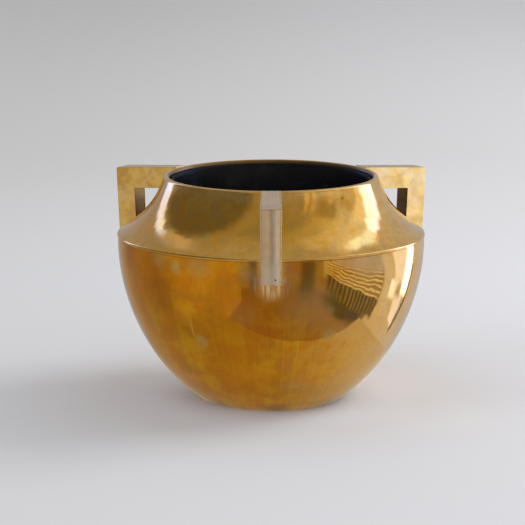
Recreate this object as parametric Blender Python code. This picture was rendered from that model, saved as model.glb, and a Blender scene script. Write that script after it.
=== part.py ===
"""Brass planter pot: a spun bowl, a spun neck lapped over it at a sharp ridge, three angular box handles
soldered to the neck and the bowl at equal angles, and a black liner that lifts out.

Units are metres, +Z is up, and the origin is the centre of the flat base. The pot is turned about Z. One handle
points to -Y, and the other two stand 120 degrees either side of it.
"""

from math import atan, cos, pi, radians, sin, tan

import bmesh
import bpy
from mathutils import Vector

# Sheet metal and the clearance between neighbouring pieces
SHEET = 0.0012
GAP = 0.0003
SEGMENTS = 60

# Bowl: a superellipse that is widest just under the ridge, with a flat base
BELLY_RADIUS = 0.1494
BELLY_DEPTH = 0.1788
BELLY_WIDEST_Z = 0.1530
BELLY_POWER = 1.88
FOOT_ROUND = 0.0040
FLANGE_SHARE = 0.9

# Ridge: the neck's turned-down skirt laps over the stepped edge of the bowl
RIDGE_RADIUS = 0.1500
SKIRT_BOTTOM_Z = 0.1598
RIDGE_ROUND = 0.0020
RIDGE_CENTRE = (RIDGE_RADIUS - RIDGE_ROUND, 0.1610)
RIDGE_JOIN = radians(58.5)

# Neck: a concave sweep from the ridge up to a lip rolled inwards round a wire
LIP_Z = 0.2147
LIP_RADIUS = 0.1020
LIP_ROUND = 0.0032
LIP_JOIN = radians(18.5)
NECK_LINEAR_SHARE = 0.402
NECK_POWER = 2.57
CURL_END = radians(290)
WIRE_RADIUS = LIP_ROUND - SHEET - GAP

# Handles: a box of flat plates, seen from the side as an L whose corner stands out past the ridge
HANDLE_AZIMUTHS = {"front": -90, "right": 30, "left": 150}
CORNER_RADIUS = 0.1746
CORNER_Z = 0.2133
TOP_SLOPE = radians(4.1)
SIDE_LEAN = radians(2.5)
TOP_DEPTH = 0.0210
SIDE_DEPTH = 0.0204
TOP_LENGTH = 0.0780
SIDE_LENGTH = 0.0705
WEB_START = 0.0515
WEB_REACH = 0.0320
CORNER_HALF_WIDTH = 0.0099
TOP_TAPER = 0.0105
SIDE_TAPER = 0.0085
TOP_END_RADIUS = 0.1036
KEEP_OUT_TOP_Z = 0.2500
MITRE_GAP = 0.75 * GAP
VENT_RADIUS = 0.0007
VENT_ACROSS = 0.0040
VENT_ABOVE_FOOT = 0.0050

# Liner: a tapered tub with a thick collar, standing on the floor of the bowl
LINER_WALL = 0.0016
LINER_FLOOR = 0.0020
LINER_FOOT_RADIUS = 0.0680
LINER_COLLAR_RADIUS = 0.0983
LINER_COLLAR_DEPTH = 0.0070
LINER_COLLAR_WIDTH = 0.0030
LINER_TOP_Z = 0.2146
LINER_ROUND = 0.0040
LINER_SEGMENTS = 48

# Mesh work
BELLY_STEPS = 11
NECK_STEPS = 8
SHARP_ANGLE = radians(30)
AXIS_MERGE = 0.00001


def clear_scene():
    for thing in list(bpy.data.objects):
        bpy.data.objects.remove(thing, do_unlink=True)


def finish(name, colour, roughness, metallic):
    """A plain Principled material."""
    material = bpy.data.materials.new(name)
    material.use_nodes = True
    shader = material.node_tree.nodes["Principled BSDF"]
    shader.inputs["Base Color"].default_value = (*colour, 1)
    shader.inputs["Roughness"].default_value = roughness
    shader.inputs["Metallic"].default_value = metallic
    return material


def arc(centre, radius, start, end, steps):
    """Points of an arc in the (radius, height) plane, with angles from the outward direction."""
    turns = [start + (end - start) * step / steps for step in range(steps + 1)]
    return [(centre[0] + radius * cos(turn), centre[1] + radius * sin(turn)) for turn in turns]


def right_hand(start, end):
    along = (Vector(end) - Vector(start)).normalized()
    return Vector((along.y, -along.x))


def offset(path, distance):
    """The path moved to its right-hand side, with mitred corners."""
    moved = []
    for index, point in enumerate(path):
        before = right_hand(*path[max(index - 1, 0) : max(index - 1, 0) + 2])
        after = right_hand(*path[min(index, len(path) - 2) : min(index, len(path) - 2) + 2])
        mitre = (before + after) * distance / (1 + before.dot(after))
        moved.append((point[0] + mitre.x, point[1] + mitre.y))
    return moved


def shaped(name, bm, material):
    """A named object from a bmesh, smooth except at its sharp edges."""
    bmesh.ops.recalc_face_normals(bm, faces=bm.faces)
    mesh = bpy.data.meshes.new(name)
    bm.to_mesh(mesh)
    bm.free()
    mesh.shade_smooth()
    mesh.set_sharp_from_angle(angle=SHARP_ANGLE)
    mesh.materials.append(material)
    solid = bpy.data.objects.new(name, mesh)
    bpy.context.collection.objects.link(solid)
    return solid


def turned(name, outline, material, closed=True, segments=SEGMENTS):
    """A solid of revolution about Z. An outline that isn't closed starts and ends on the axis."""
    bm = bmesh.new()
    points = [bm.verts.new((radius, 0, height)) for radius, height in outline]
    for start, end in zip(points, points[1:]):
        bm.edges.new((start, end))
    if closed:
        bm.edges.new((points[-1], points[0]))
    line = [*bm.verts, *bm.edges]
    bmesh.ops.spin(bm, geom=line, axis=(0, 0, 1), angle=2 * pi, steps=segments, use_merge=True)
    bmesh.ops.remove_doubles(bm, verts=bm.verts, dist=AXIS_MERGE)
    return shaped(name, bm, material)


def helper(thing):
    """Marks a cutter, which isn't a piece of the pot."""
    thing.hide_render = True
    thing.display_type = "WIRE"
    return thing


# The pot's turned outlines


def belly_radius(height):
    reach = abs(BELLY_WIDEST_Z - height) / BELLY_DEPTH
    return BELLY_RADIUS * (1 - reach**BELLY_POWER) ** (1 / BELLY_POWER)


def belly_path(steps):
    """The bowl's wall from just under the skirt down to its rounded foot."""
    rise = 0.0005
    steepness = atan(rise / (belly_radius(rise) - belly_radius(0)))
    flat_radius = belly_radius(0) - FOOT_ROUND * tan(steepness / 2)
    foot = arc((flat_radius, FOOT_ROUND), FOOT_ROUND, steepness - pi / 2, -pi / 2, 3)
    top = SKIRT_BOTTOM_Z - GAP
    heights = [foot[0][1] + (top - foot[0][1]) * (1 - step / steps) ** 1.5 for step in range(steps)]
    return [(belly_radius(height), height) for height in heights] + foot


def neck_point(share):
    """A point of the neck's outer side, share 0 at the lip and 1 at the ridge's rounded edge."""
    start, end = lip_join(), ridge_join()
    sweep = NECK_LINEAR_SHARE * share + (1 - NECK_LINEAR_SHARE) * share**NECK_POWER
    return (start[0] + (end[0] - start[0]) * sweep, start[1] + (end[1] - start[1]) * share)


def lip_join():
    return arc((LIP_RADIUS, LIP_Z), LIP_ROUND, LIP_JOIN, pi, 1)[0]


def ridge_join():
    return arc(RIDGE_CENTRE, RIDGE_ROUND, RIDGE_JOIN, 0, 1)[0]


def neck_path(steps):
    return [neck_point(step / steps) for step in range(1, steps)]


def lower_bowl(material):
    """The bowl, whose edge turns in under the neck as a flange."""
    join = ridge_join()
    slope = (neck_point(FLANGE_SHARE)[1] - join[1]) / (join[0] - neck_point(FLANGE_SHARE)[0])
    ridge = (RIDGE_RADIUS, join[1] - (RIDGE_RADIUS - join[0]) * slope)
    seat = [neck_point(FLANGE_SHARE), ridge, (RIDGE_RADIUS, SKIRT_BOTTOM_Z)]
    flange = offset(seat, SHEET + GAP)[:2]
    belly = belly_path(BELLY_STEPS)
    outer = [*flange, (flange[1][0], belly[0][1]), *belly]
    inner = offset(outer, SHEET)[:-1]
    rising = [(0, SHEET), *reversed(inner)]
    return turned("lower_bowl", [*rising, *outer, (0, 0)], material, closed=False)


def neck_shell(material):
    curl = arc((LIP_RADIUS, LIP_Z), LIP_ROUND, CURL_END, LIP_JOIN, 9)
    ridge = arc(RIDGE_CENTRE, RIDGE_ROUND, RIDGE_JOIN, 0, 3)
    neck = neck_path(NECK_STEPS)
    inner_curl = arc((LIP_RADIUS, LIP_Z), LIP_ROUND - SHEET, LIP_JOIN, CURL_END, 7)
    inner_neck = offset([curl[-1], *neck, ridge[0]], SHEET)[1:-1]
    inner_ridge = arc(RIDGE_CENTRE, RIDGE_ROUND - SHEET, 0, RIDGE_JOIN, 1)
    skirt = [(RIDGE_RADIUS, SKIRT_BOTTOM_Z), (RIDGE_RADIUS - SHEET, SKIRT_BOTTOM_Z)]
    outline = [*curl, *neck, *ridge, *skirt, *inner_ridge, *reversed(inner_neck), *inner_curl]
    return turned("neck_shell", outline, material)


def rim_wire(material):
    return turned("rim_wire", arc((LIP_RADIUS, LIP_Z), WIRE_RADIUS, 0, -2 * pi * 7 / 8, 7), material)


def liner(material):
    foot_z = SHEET + GAP
    collar_inside = LINER_COLLAR_RADIUS - LINER_COLLAR_WIDTH
    wall_top = (collar_inside + LINER_WALL, LINER_TOP_Z - LINER_COLLAR_DEPTH)
    collar_round = LINER_COLLAR_WIDTH / 2
    collar_centre = (LINER_COLLAR_RADIUS - collar_round, LINER_TOP_Z - collar_round)
    collar = arc(collar_centre, collar_round, pi, 0, 6)
    foot = arc((LINER_FOOT_RADIUS - LINER_ROUND, foot_z + LINER_ROUND), LINER_ROUND, -radians(8), -pi / 2, 4)
    inside_round = LINER_ROUND - LINER_WALL
    corner_centre = (LINER_FOOT_RADIUS - LINER_ROUND, foot_z + LINER_FLOOR + inside_round)
    inside = arc(corner_centre, inside_round, -pi / 2, -radians(8), 3)
    outline = [(0, foot_z + LINER_FLOOR), *inside, *collar]
    outline += [(LINER_COLLAR_RADIUS, wall_top[1]), wall_top, *foot, (0, foot_z)]
    return turned("liner", outline, material, closed=False, segments=LINER_SEGMENTS)


def keep_out(material):
    """The room that the pot takes, which the handles are cut to fit."""
    lip = arc((LIP_RADIUS, LIP_Z), LIP_ROUND, pi / 3, LIP_JOIN, 4)
    ridge = arc(RIDGE_CENTRE, RIDGE_ROUND, RIDGE_JOIN, 0, 3)
    skirt = [(RIDGE_RADIUS, SKIRT_BOTTOM_Z - GAP)]
    surface = offset([*lip, *neck_path(NECK_STEPS), *ridge, *skirt, *belly_path(BELLY_STEPS)[1:8]], -GAP)
    surface = [point for point in surface if point[0] > TOP_END_RADIUS]
    above = [(0, KEEP_OUT_TOP_Z), (TOP_END_RADIUS, KEEP_OUT_TOP_Z)]
    outline = [*above, *surface, (0, surface[-1][1])]
    return helper(turned("keep_out", outline, material, closed=False))


# The handles. Their plates are drawn with two depths: under the top face, and behind the outer face


def handle_point(from_top, from_side):
    """The (outward, up) place of a point at these depths."""
    along_top = Vector((-cos(TOP_SLOPE), sin(TOP_SLOPE)))
    along_side = Vector((-sin(SIDE_LEAN), -cos(SIDE_LEAN)))
    skew = cos(TOP_SLOPE - SIDE_LEAN)
    return Vector((CORNER_RADIUS, CORNER_Z)) + (along_top * from_side + along_side * from_top) / skew


def half_width(from_top, from_side):
    return CORNER_HALF_WIDTH - TOP_TAPER * from_side - SIDE_TAPER * from_top


def plate(name, outline, low, high, material):
    """A flat plate between two cross positions, each given as (side, inset): side -1 or 1 times the handle's
    half width less the inset."""
    bm = bmesh.new()
    faces = []
    for side, inset in (low, high):
        ring = []
        for depths in outline:
            outward, up = handle_point(*depths)
            ring.append(bm.verts.new((outward, side * (half_width(*depths) - inset), up)))
        faces.append(ring)
    bm.faces.new(faces[0])
    bm.faces.new(reversed(faces[1]))
    for index in range(len(outline)):
        after = (index + 1) % len(outline)
        bm.faces.new((faces[0][index], faces[1][index], faces[1][after], faces[0][after]))
    return shaped(name, bm, material)


def plate_outlines():
    """Each strip's four corners as (depth under the top, depth behind the outer face)."""
    box_top = SHEET + MITRE_GAP
    window_top = TOP_DEPTH - SHEET
    window_side = SIDE_DEPTH - SHEET
    foot = SIDE_LENGTH - SHEET
    return {
        "top_plate": [(0, MITRE_GAP), (0, TOP_LENGTH), (SHEET, TOP_LENGTH), (SHEET, box_top)],
        "outer_plate": [(MITRE_GAP, 0), (box_top, SHEET), (SIDE_LENGTH, SHEET), (SIDE_LENGTH, 0)],
        "under_plate": [
            (TOP_DEPTH, SIDE_DEPTH + MITRE_GAP),
            (TOP_DEPTH, TOP_LENGTH),
            (window_top, TOP_LENGTH),
            (window_top, window_side + MITRE_GAP),
        ],
        "inner_plate": [
            (TOP_DEPTH + MITRE_GAP, SIDE_DEPTH),
            (foot - GAP, SIDE_DEPTH),
            (foot - GAP, window_side),
            (window_top + MITRE_GAP, window_side),
        ],
        "foot_plate": [
            (foot, SHEET + GAP),
            (foot, WEB_REACH),
            (SIDE_LENGTH, WEB_REACH),
            (SIDE_LENGTH, SHEET + GAP),
        ],
    }


def cheek_outline():
    """The L of a side plate. Its foot reaches in under the window to the ridge and the bowl."""
    return [
        (0, 0),
        (0, TOP_LENGTH),
        (TOP_DEPTH, TOP_LENGTH),
        (TOP_DEPTH, SIDE_DEPTH),
        (WEB_START, SIDE_DEPTH),
        (WEB_START, WEB_REACH),
        (SIDE_LENGTH, WEB_REACH),
        (SIDE_LENGTH, 0),
    ]


def vent_drill(name, material):
    """A thin cylinder through the outer plate, where the hot air leaves the closed box as it is soldered."""
    bm = bmesh.new()
    bmesh.ops.create_cone(
        bm, cap_ends=True, segments=16, radius1=VENT_RADIUS, radius2=VENT_RADIUS, depth=6 * SHEET
    )
    drill = shaped(name, bm, material)
    outward, up = handle_point(SIDE_LENGTH - VENT_ABOVE_FOOT, SHEET / 2)
    drill.location = (outward, VENT_ACROSS, up)
    drill.rotation_euler = (0, pi / 2 + SIDE_LEAN, 0)
    return helper(drill)


def cut(solid, cutter):
    """Takes the cutter out of the solid."""
    boolean = solid.modifiers.new("cut_" + cutter.name, "BOOLEAN")
    boolean.object = cutter
    boolean.solver = "EXACT"


def handle(place, azimuth, room, material):
    """One handle: two cheeks, left and right as seen from outside, and five strips between them."""
    name = f"handle_{place}"
    turn = bpy.data.objects.new(name, None)
    turn.rotation_euler = (0, 0, radians(azimuth))
    bpy.context.collection.objects.link(turn)
    inside = SHEET + GAP
    strips = {
        piece: plate(f"{name}_{piece}", outline, (-1, inside), (1, inside), material)
        for piece, outline in plate_outlines().items()
    }
    cheeks = [
        plate(f"{name}_{side}_cheek", cheek_outline(), (sign, 0), (sign, SHEET), material)
        for side, sign in (("left", -1), ("right", 1))
    ]
    drill = vent_drill(f"{name}_drill", material)
    for piece in (*strips.values(), *cheeks, drill):
        piece.parent = turn
    for piece in (strips["top_plate"], strips["under_plate"], strips["foot_plate"], *cheeks):
        cut(piece, room)
    cut(strips["outer_plate"], drill)


def main():
    clear_scene()
    bowl_brass = finish("bowl_brass", (0.62, 0.36, 0.10), 0.16, 1)
    handle_brass = finish("handle_brass", (0.66, 0.46, 0.22), 0.3, 1)
    wire_brass = finish("wire_brass", (0.60, 0.42, 0.16), 0.35, 1)
    liner_black = finish("liner_black", (0.012, 0.013, 0.015), 0.2, 0)
    lower_bowl(bowl_brass)
    neck_shell(bowl_brass)
    rim_wire(wire_brass)
    liner(liner_black)
    room = keep_out(handle_brass)
    for place, azimuth in HANDLE_AZIMUTHS.items():
        handle(place, azimuth, room, handle_brass)


main()
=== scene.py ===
"""Looks of the brass planter pot: fine shells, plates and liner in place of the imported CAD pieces, their
procedural finishes, a pale floor, soft studio light and the camera.

Units are metres and +Z is up. The pot is round about Z and stands on the floor at height 0. Directions
round the pot are given as an azimuth from -Y, the camera's side, growing towards +X, and an elevation
above the horizon.
"""

from math import atan, cos, pi, radians, sin, tan

import bmesh
import bpy
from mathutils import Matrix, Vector, noise


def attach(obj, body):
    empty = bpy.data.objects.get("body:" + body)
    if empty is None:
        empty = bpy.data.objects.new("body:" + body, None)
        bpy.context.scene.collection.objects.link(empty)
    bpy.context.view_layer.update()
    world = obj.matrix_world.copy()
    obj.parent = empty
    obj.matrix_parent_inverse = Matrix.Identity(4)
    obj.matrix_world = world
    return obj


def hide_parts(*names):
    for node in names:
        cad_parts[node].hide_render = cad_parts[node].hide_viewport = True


# Camera
CAMERA_PLACE = (0.0, -2.0642, 0.5332)
CAMERA_PITCH = radians(11.035)
CAMERA_TURN = radians(0.230)
LENS_MM = 147.07
SENSOR_MM = 36.0

# Turned outlines, as in the CAD part
SHEET = 0.0012
BELLY_RADIUS = 0.1494
BELLY_DEPTH = 0.1788
BELLY_WIDEST_Z = 0.1530
BELLY_POWER = 1.88
FOOT_ROUND = 0.0040
RIDGE_RADIUS = 0.1500
SKIRT_BOTTOM_Z = 0.1598
RIDGE_ROUND = 0.0020
RIDGE_CENTRE = (RIDGE_RADIUS - RIDGE_ROUND, 0.1610)
RIDGE_JOIN = radians(58.5)
HEM_ROUND = 0.0004
LIP_RADIUS = 0.1020
LIP_CENTRE = (LIP_RADIUS, 0.2147)
LIP_ROUND = 0.0032
LIP_JOIN = radians(18.5)
NECK_LINEAR_SHARE = 0.402
NECK_POWER = 2.57
CURL_END = radians(290)
WIRE_RADIUS = LIP_ROUND - SHEET - 0.0001
WIRE_SIDES = 16
FLANGE_SHARE = 0.9

# Handles, as in the CAD part, but with finer seams. Their turns about Z are in degrees from +X.
HANDLE_TURNS = {"front": -90, "right": 30, "left": 150}
CORNER_RADIUS = 0.1746
CORNER_Z = 0.2133
TOP_SLOPE = radians(4.1)
SIDE_LEAN = radians(2.5)
TOP_DEPTH = 0.0210
SIDE_DEPTH = 0.0204
TOP_LENGTH = 0.0780
SIDE_LENGTH = 0.0705
WEB_START = 0.0515
WEB_REACH = 0.0320
CORNER_HALF_WIDTH = 0.0099
TOP_TAPER = 0.0105
SIDE_TAPER = 0.0085
TOP_END_RADIUS = 0.1036
KEEP_OUT_TOP_Z = 0.2500
SEAM = 0.00003
PLATE_BEVEL = 0.00022
PLATE_BEVEL_STEPS = 3
PLATE_FINISH = {
    "top_plate": "level",
    "outer_plate": "face",
    "under_plate": "hidden",
    "inner_plate": "hidden",
    "foot_plate": "level",
}
CORNER_ROUND = 0.0016
VENT_RADIUS = 0.0007
VENT_ACROSS = 0.0040
VENT_ABOVE_FOOT = 0.0050

# A cheek's face is one of its narrow ones if it looks sideways by less than the first of these, and takes
# the finger gap's finish if it also looks outwards and up by less than the second
NARROW_FACE = 0.6
INWARD_FACE = -0.5

# Liner, as in the CAD part
LINER_WALL = 0.0016
LINER_FLOOR = 0.0020
LINER_FOOT_RADIUS = 0.0680
LINER_FOOT_Z = 0.0015
LINER_COLLAR_RADIUS = 0.0983
LINER_COLLAR_DEPTH = 0.0070
LINER_COLLAR_WIDTH = 0.0030
LINER_TOP_Z = 0.2146
LINER_ROUND = 0.0040
LINER_DRAFT = radians(8)

# Mesh work
SEGMENTS = 256
BELLY_STEPS = 84
NECK_STEPS = 56
INNER_STEPS = 24
RING_CROWDING = 1.4
FOOT_PROBE = 0.0005
SHARP_ANGLE = radians(32)
AXIS_MERGE = 0.00001
DENT_DEPTH = 0.00008
DENT_SIZE = 0.045
DENT_FADE = 0.03
SMALL_DENT_SHARE = 0.4
SMALL_DENT_RATIO = 2.7
SMALL_DENT_SHIFT = Vector((7, 3, 1))

# Floor, with painted light and shade: darker on the left than the right, darker far away, and paler
# under the pot, where painted light lifts its shadow. Near and far give distances from the pot and the shares
# of the colours there.
FLOOR_RADIUS = 16.0
FLOOR_Z = -0.0002
FLOOR_LEFT = (0.665, 0.670, 0.685)
FLOOR_RIGHT = (0.785, 0.790, 0.825)
FLOOR_SWEEP = 0.7
FLOOR_FAR = (0.5, 1.8)
FLOOR_FAR_SHADE = (0.90, 0.88, 0.85)
FLOOR_NEAR = (0.09, 0.17, 0.8, 0)
FLOOR_NEAR_LIGHT = (0.80, 0.86, 0.97)

# The square that the brass reflects in place of the floor. It glows with painted light of the lit floor,
# paler to the right, with a painted shadow under the pot. Contact gives distances from its middle, and the
# shares of its painted shadow there.
TABLE_SIDE = 0.345
TABLE_CENTRE = (-0.002, -0.017)
TABLE_TURN = radians(17.8)
TABLE_LEFT = (0.385, 0.345, 0.22)
TABLE_RIGHT = (0.58, 0.53, 0.43)
TABLE_SWEEP = 0.20
CONTACT = (0.070, 0.110, 0.18, 0)
CONTACT_SHADOW_COLOUR = (0.12, 0.10, 0.07)

# Softboxes, as (place, size, power), and one for each handle, as (place, power, colour)
STUDIO_LIGHTS = {
    "side_light": ((3.6, 1.2, 2.64), 2.4, 85.0),
    "fill_light": ((-6.0, -2.4, 1.8), 3.0, 110.0),
}
HANDLE_LIGHT_SIZE = 0.6
HANDLE_LIGHTS = {
    "right": ((0.85, -0.35, 0.10), 0.88, (0.97, 1.0, 1.15)),
    "left": ((-0.85, -0.35, 0.10), 0.09, (1.0, 0.74, 0.06)),
    "front": ((0.60, -0.40, 0.20), 0.50, (1.0, 0.95, 0.85)),
}


# Meshes


def on_circle(centre, radius, turn):
    return (centre[0] + radius * cos(turn), centre[1] + radius * sin(turn))


def arc(centre, radius, start, end, steps):
    """Points of an arc in the (radius, height) plane, with angles from the outward direction."""
    return [on_circle(centre, radius, start + (end - start) * step / steps) for step in range(steps + 1)]


def right_hand(start, end):
    along = (Vector(end) - Vector(start)).normalized()
    return Vector((along.y, -along.x))


def offset(path, distance):
    """The path moved to its right-hand side, with mitred corners."""
    moved = []
    for index, point in enumerate(path):
        before = right_hand(*path[max(index - 1, 0) : max(index - 1, 0) + 2])
        after = right_hand(*path[min(index, len(path) - 2) : min(index, len(path) - 2) + 2])
        mitre = (before + after) * distance / (1 + before.dot(after))
        moved.append((point[0] + mitre.x, point[1] + mitre.y))
    return moved


def meshed(name, bm, *materials):
    """A new object with this bmesh, which it uses up."""
    mesh = bpy.data.meshes.new(name)
    bm.to_mesh(mesh)
    bm.free()
    for material in materials:
        mesh.materials.append(material)
    made = bpy.data.objects.new(name, mesh)
    bpy.context.scene.collection.objects.link(made)
    return made


def turned(name, runs, materials, closed=True, dent=None):
    """A solid of revolution about Z. Each run is (points, material index), and a run starts where the last
    one ended. An outline that isn't closed starts and ends on the axis. dent moves a point in or out."""
    points, kinds = [], []
    for run, kind in runs:
        points += run
        kinds += [kind] * len(run)
    bm = bmesh.new()
    rings = []
    for radius, height in points:
        if radius < AXIS_MERGE:
            rings.append([bm.verts.new((0, 0, height))] * SEGMENTS)
            continue
        ring = []
        for step in range(SEGMENTS):
            turn = 2 * pi * step / SEGMENTS
            place = Vector((radius * cos(turn), radius * sin(turn), height))
            ring.append(bm.verts.new(dent(place) if dent else place))
        rings.append(ring)
    for index in range(len(rings) if closed else len(rings) - 1):
        here, there = rings[index], rings[(index + 1) % len(rings)]
        for step in range(SEGMENTS):
            after = (step + 1) % SEGMENTS
            corners = [here[step], here[after], there[after], there[step]]
            unique = list(dict.fromkeys(corners))
            if len(unique) > 2:
                bm.faces.new(unique).material_index = kinds[index]
    bmesh.ops.recalc_face_normals(bm, faces=bm.faces)
    made = meshed(name, bm, *materials)
    made.data.shade_smooth()
    made.data.set_sharp_from_angle(angle=SHARP_ANGLE)
    return made


def belly_radius(height):
    reach = abs(BELLY_WIDEST_Z - height) / BELLY_DEPTH
    return BELLY_RADIUS * (1 - reach**BELLY_POWER) ** (1 / BELLY_POWER)


def belly_path(steps):
    """The bowl's wall from the hem of the neck down to its rounded foot."""
    steepness = atan(FOOT_PROBE / (belly_radius(FOOT_PROBE) - belly_radius(0)))
    flat_radius = belly_radius(0) - FOOT_ROUND * tan(steepness / 2)
    foot = arc((flat_radius, FOOT_ROUND), FOOT_ROUND, steepness - pi / 2, -pi / 2, 8)
    top = SKIRT_BOTTOM_Z - HEM_ROUND
    wall = top - foot[0][1]
    heights = [foot[0][1] + wall * (1 - step / steps) ** RING_CROWDING for step in range(steps)]
    return [(belly_radius(height), height) for height in heights] + foot


def lip_join():
    return on_circle(LIP_CENTRE, LIP_ROUND, LIP_JOIN)


def ridge_join():
    return on_circle(RIDGE_CENTRE, RIDGE_ROUND, RIDGE_JOIN)


def neck_point(share):
    """A point of the neck's outer side, share 0 at the lip and 1 at the ridge's rounded edge."""
    start, end = lip_join(), ridge_join()
    sweep = NECK_LINEAR_SHARE * share + (1 - NECK_LINEAR_SHARE) * share**NECK_POWER
    return (start[0] + (end[0] - start[0]) * sweep, start[1] + (end[1] - start[1]) * share)


def neck_path(steps):
    return [neck_point(step / steps) for step in range(1, steps)]


def dented(place):
    """Leaves the shallow unevenness of hand-finished spun sheet on the belly, only ever inwards."""
    above, below = place.z / DENT_FADE, (SKIRT_BOTTOM_Z - place.z) / DENT_FADE
    level = min(max(below, 0), 1) * min(max(above, 0), 1)
    small = noise.noise(place * (SMALL_DENT_RATIO / DENT_SIZE) + SMALL_DENT_SHIFT)
    wave = noise.noise(place / DENT_SIZE) + SMALL_DENT_SHARE * small
    reach = 1 + SMALL_DENT_SHARE
    outward = Vector((place.x, place.y, 0)).normalized()
    return place - outward * DENT_DEPTH * level * (wave + reach) / (2 * reach)


def belly(outside, inside):
    """The spun bowl, which goes up under the hem of the neck, where its edge turns in as a flange."""
    join = ridge_join()
    slope = (neck_point(FLANGE_SHARE)[1] - join[1]) / (join[0] - neck_point(FLANGE_SHARE)[0])
    ridge = (RIDGE_RADIUS, join[1] - (RIDGE_RADIUS - join[0]) * slope)
    flange = offset([neck_point(FLANGE_SHARE), ridge, (RIDGE_RADIUS, SKIRT_BOTTOM_Z)], SHEET + SEAM)[:2]
    fine = belly_path(BELLY_STEPS)
    rough = belly_path(INNER_STEPS)
    outer = [*flange, (flange[1][0], fine[0][1] + HEM_ROUND), *fine]
    inner = offset([*flange, (flange[1][0], rough[0][1] + HEM_ROUND), *rough], SHEET)[:-1]
    runs = [([(0, SHEET), *reversed(inner)], 1), ([*outer, (0, 0)], 0)]
    return turned("belly", runs, (outside, inside), closed=False, dent=dented)


def neck(outside, inside):
    """The spun neck: the curled lip, the sweep, the ridge and the hem, and the sheet's other side inside."""
    curl = arc(LIP_CENTRE, LIP_ROUND, CURL_END, LIP_JOIN, 40)
    ridge = arc(RIDGE_CENTRE, RIDGE_ROUND, RIDGE_JOIN, 0, 8)
    hem_centre = (RIDGE_RADIUS - HEM_ROUND, SKIRT_BOTTOM_Z + HEM_ROUND)
    hem = arc(hem_centre, HEM_ROUND, 0, -pi / 2, 4)
    inner_curl = arc(LIP_CENTRE, LIP_ROUND - SHEET, LIP_JOIN, CURL_END, 24)
    inner_neck = offset([curl[-1], *neck_path(INNER_STEPS), ridge[0]], SHEET)[1:-1]
    inner_ridge = arc(RIDGE_CENTRE, RIDGE_ROUND - SHEET, 0, RIDGE_JOIN, 3)
    skirt_inside = [(RIDGE_RADIUS - SHEET, SKIRT_BOTTOM_Z)]
    outer = [*curl, *neck_path(NECK_STEPS), *ridge, *hem]
    inner = [*skirt_inside, *inner_ridge, *reversed(inner_neck), *inner_curl]
    return turned("neck", [(outer, 0), (inner, 1)], (outside, inside))


def lip_wire(material):
    last = WIRE_SIDES - 1
    ring = arc(LIP_CENTRE, WIRE_RADIUS, 0, -2 * pi * last / WIRE_SIDES, last)
    return turned("lip_wire", [(ring, 0)], (material,))


def tub(material):
    """The tapered liner with its thick collar."""
    collar_inside = LINER_COLLAR_RADIUS - LINER_COLLAR_WIDTH
    wall_top = (collar_inside + LINER_WALL, LINER_TOP_Z - LINER_COLLAR_DEPTH)
    collar_round = LINER_COLLAR_WIDTH / 2
    collar = arc((LINER_COLLAR_RADIUS - collar_round, LINER_TOP_Z - collar_round), collar_round, pi, 0, 16)
    foot_centre = (LINER_FOOT_RADIUS - LINER_ROUND, LINER_FOOT_Z + LINER_ROUND)
    foot = arc(foot_centre, LINER_ROUND, -LINER_DRAFT, -pi / 2, 10)
    inside_round = LINER_ROUND - LINER_WALL
    inside_centre = (foot_centre[0], LINER_FOOT_Z + LINER_FLOOR + inside_round)
    inside = arc(inside_centre, inside_round, -pi / 2, -LINER_DRAFT, 8)
    floor = [(0, LINER_FOOT_Z + LINER_FLOOR), (inside[0][0] / 2, LINER_FOOT_Z + LINER_FLOOR)]
    outline = [*floor, *inside, *collar]
    outline += [(LINER_COLLAR_RADIUS, wall_top[1]), wall_top, *foot, (0, LINER_FOOT_Z)]
    return turned("tub", [(outline, 0)], (material,), closed=False)


# The handles' plates are drawn with two depths: under the top face, and behind the outer face


def handle_point(from_top, from_side):
    """The (outward, up) place of a point at these depths."""
    along_top = Vector((-cos(TOP_SLOPE), sin(TOP_SLOPE)))
    along_side = Vector((-sin(SIDE_LEAN), -cos(SIDE_LEAN)))
    skew = cos(TOP_SLOPE - SIDE_LEAN)
    return Vector((CORNER_RADIUS, CORNER_Z)) + (along_top * from_side + along_side * from_top) / skew


def half_width(from_top, from_side):
    return CORNER_HALF_WIDTH - TOP_TAPER * from_side - SIDE_TAPER * from_top


def rounded_corner(start, end, lower=0.0, further=0.0):
    """Depths along the rounded outer corner, from 0 on the top face to a right angle on the outer face."""
    turns = [start + (end - start) * step / 5 for step in range(6)]
    return [
        (CORNER_ROUND * (1 - cos(turn)) + lower, CORNER_ROUND * (1 - sin(turn)) + further) for turn in turns
    ]


def plate(name, outline, low, high, material):
    """A flat plate with softened edges between two cross positions, each given as (side, inset): side -1 or 1
    times the handle's half width less the inset."""
    bm = bmesh.new()
    faces = []
    for side, inset in (low, high):
        ring = []
        for depths in outline:
            outward, up = handle_point(*depths)
            ring.append(bm.verts.new((outward, side * (half_width(*depths) - inset), up)))
        faces.append(ring)
    bm.faces.new(faces[0])
    bm.faces.new(reversed(faces[1]))
    for index in range(len(outline)):
        after = (index + 1) % len(outline)
        bm.faces.new((faces[0][index], faces[1][index], faces[1][after], faces[0][after]))
    bmesh.ops.recalc_face_normals(bm, faces=bm.faces)
    bmesh.ops.bevel(
        bm,
        geom=[edge for edge in bm.edges if edge.calc_face_angle() > SHARP_ANGLE],
        offset=PLATE_BEVEL,
        segments=PLATE_BEVEL_STEPS,
        profile=0.5,
        affect="EDGES",
    )
    return meshed(name, bm, material)


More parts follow.
